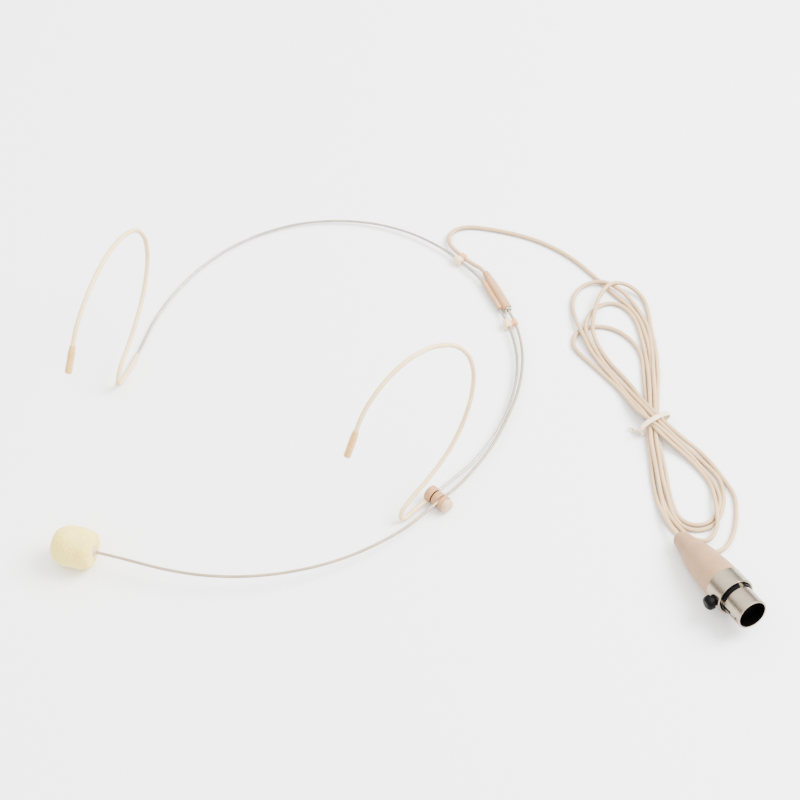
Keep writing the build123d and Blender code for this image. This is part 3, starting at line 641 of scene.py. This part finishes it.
level_run = Vector((run_way.x, run_way.y, 0.0)).normalized()
tail_points = [
    boom_middle - level_run * (2.2 * MM),
    boom_middle - level_run * (7.0 * MM),
    at(55.4, 20.6, 2.9),
    at(55.8, 29.0, 2.5),
    at(55.3, 37.2, 2.3),
    at(54.0, 45.6, 2.1),
    at(52.0, 54.2, 1.9),
    at(48.9, 62.0, 1.8),
    at(45.6, 67.9, 1.7),
    at(41.3, 73.5, 1.6),
    sleeve_ring_end - sleeve_way * (2.5 * MM),
    sleeve_ring_end + sleeve_way * (3.5 * MM),
]
tail_curve = nurbs("tail_route", tail_points, BOOM_RADIUS, resolution=8, sides=5)
tail_mesh = bpy.data.meshes.new_from_object(tail_curve)
bpy.data.objects.remove(tail_curve)
tail_mesh.name = "boom_tube_tail"
tail_tube = link("boom_tube_tail", tail_mesh)
for face in tail_mesh.polygons:
    face.use_smooth = True
tail_mesh.materials.clear()
tail_mesh.materials.append(coating.material)
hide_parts("boom_tail")
# The bend is kept short, so that the tail stays above the floor when the boom is raised.
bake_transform(tail_tube)

# ---- finishes on the CAD nodes -------------------------------------------------------
dress(steel.material, "frame_wire", "clamp_screw", "latch_hook")
dress(silicone.material, "right_ear_tube", "left_ear_tube")
dress(lacquer.material, "right_tip_ferrule", "left_tip_ferrule")
dress(moulding.material, "clamp_block", "swivel_hub", "clamp_jaw")
dress(knob_paint.material, "clamp_knob")
dress(sleeve_paint.material, "junction_sleeve")
dress(coating.material, "boom_front")
dress(capsule_paint.material, "capsule_housing", "capsule_grille")
dress(black.material, "clamp_washer", "plug_black_ring", "plug_insert")
dress(black.material, "latch_button", "microphone_element")
dress(gold.material, "plug_contacts")
dress(band.material, "cable_chuck")

# The clips are cream at the bead and warmer where they snap onto what they hold.
for clip_name, centre, held in (
    ("rear_clip", (clip_low + clip_high) / 2, cable_in_clip),
    ("side_clip", (at(34.6, 76.6, 1.6) + at(40.0, 71.8, 1.6)) / 2, None),
):
    paint = Paint(clip_name + "_moulding", rgb(232, 208, 160), 0.46)
    paint.tint(paint.noise(0.0014), 0.93, 1.05).rough(paint.noise(0.0004), 0.38, 0.56)
    low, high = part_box(clip_name)
    outward = (held - centre) if held is not None else ((low + high) / 2 - centre)
    outward = Vector((outward.x, outward.y, 0.0)).normalized()
    warm = paint.ramp(
        paint.maths("MULTIPLY", paint.along(centre, outward), 300.0),
        [(0.12, grey(0.0)), (0.34, grey(1.0))],
    )
    paint.mix_in(warm, rgb(214, 156, 108))
    paint.bump(paint.noise(0.00012, 2.0), 0.000008)
    dress(paint.material, clip_name)

# Turned and plated parts of the plug and the sleeve's ring: fine rings about the axis.
BORE_RADIUS = 0.00393
for nickel_name, tone, turned in (
    ("plug_barrel", rgb(152, 139, 121), 0.000004),
    ("plug_shell", rgb(156, 143, 125), 0.000005),
    ("sleeve_ring", rgb(205, 200, 190), 0.000003),
):
    plate = Paint(nickel_name + "_nickel", tone, 0.28, 1.0)
    way = plug_back if nickel_name != "sleeve_ring" else sleeve_way
    distance = plate.along(plug_nose, way)
    rings_fac = plate.noise(0.00009, 2.0, source=distance, flat=True)
    plate.tint(plate.noise(0.003), 0.9, 1.06).rough(rings_fac, 0.2, 0.4)
    plate.bump(rings_fac, turned).bump(plate.noise(0.0003, 2.0), 0.000003)
    if nickel_name == "plug_barrel":
        # The bore is lined in black; it shows only inside the front.
        bore = plate.maths("LESS_THAN", plate.off_axis(plug_nose, plug_back), BORE_RADIUS)
        plate.mix_in(bore, rgb(6, 5, 4))
        plate.join(plate.maths("SUBTRACT", 1.0, bore), plate.shader.inputs["Metallic"])
        # The plating is metal, so this takes the shine off the black alone.
        plate.set(Specular_IOR_Level=0.0)
    dress(plate.material, nickel_name)

# The boot is matte rubber with a faint grain. Its tone runs back from the plug's nose over
# this length, and is darker towards the cable.
BOOT_TONE_LENGTH = 0.036
rubber = Paint("boot_rubber", rgb(158, 122, 86), 0.6)
rubber.tint(rubber.noise(0.004), 0.93, 1.05).rough(rubber.noise(0.0005), 0.52, 0.72)
back_share = rubber.maths("MULTIPLY", rubber.along(plug_nose, plug_back), 1.0 / BOOT_TONE_LENGTH)
rubber.mix_in(
    rubber.ramp(back_share, [(0.42, grey(0.0)), (0.78, grey(0.12)), (0.80, grey(0.3))]),
    rgb(140, 106, 74),
)
rubber.bump(rubber.noise(0.00011, 3.0), 0.000012).set(Sheen_Weight=0.08)
dress(rubber.material, "plug_boot")

# ---- floor and light ----------------------------------------------------------------
FLOOR_HALF_WIDTH = 3.0
floor_mesh = bpy.data.meshes.new("floor")
half = FLOOR_HALF_WIDTH
floor_mesh.from_pydata(
    [(-half, -half, 0.0), (half, -half, 0.0), (half, half, 0.0), (-half, half, 0.0)],
    [],
    [(0, 1, 2, 3)],
)
floor = link("floor", floor_mesh)
floor_material = bpy.data.materials.new("floor_paper")
floor_material.use_nodes = True
floor_shader = floor_material.node_tree.nodes["Principled BSDF"]
floor_shader.inputs["Base Color"].default_value = (0.93, 0.93, 0.93, 1.0)
floor_shader.inputs["Roughness"].default_value = 0.9
floor_mesh.materials.append(floor_material)

world = bpy.data.worlds.new("world")
world.use_nodes = True
world_tree = world.node_tree
background = world_tree.nodes["Background"]
background.inputs["Strength"].default_value = 4.0
sky_way = world_tree.nodes.new("ShaderNodeTexCoord")
split = world_tree.nodes.new("ShaderNodeSeparateXYZ")
world_tree.links.new(sky_way.outputs["Generated"], split.inputs[0])
level = world_tree.nodes.new("ShaderNodeValToRGB")
# Near the horizon the room is darker than overhead; this is what nickel reflects.
level.color_ramp.elements[0].position = 0.26
level.color_ramp.elements[0].color = (0.03, 0.027, 0.024, 1.0)
level.color_ramp.elements[1].position = 0.56
level.color_ramp.elements[1].color = (1.0, 1.0, 1.0, 1.0)
world_tree.links.new(split.outputs["Z"], level.inputs["Fac"])
world_tree.links.new(level.outputs["Color"], background.inputs["Color"])
bpy.context.scene.world = world


def area_light(name, place, towards, size, power):
    data = bpy.data.lights.new(name, "AREA")
    data.shape = "DISK"
    data.size = size
    data.energy = power
    lamp = link(name, data)
    lamp.location = place
    lamp.rotation_mode = "QUATERNION"
    lamp.rotation_quaternion = (Vector(towards) - lamp.location).to_track_quat("-Z", "Y")
    return lamp


area_light("key", (0.55, 0.45, 0.75), (0.03, 0.02, 0.0), 0.7, 34.0)
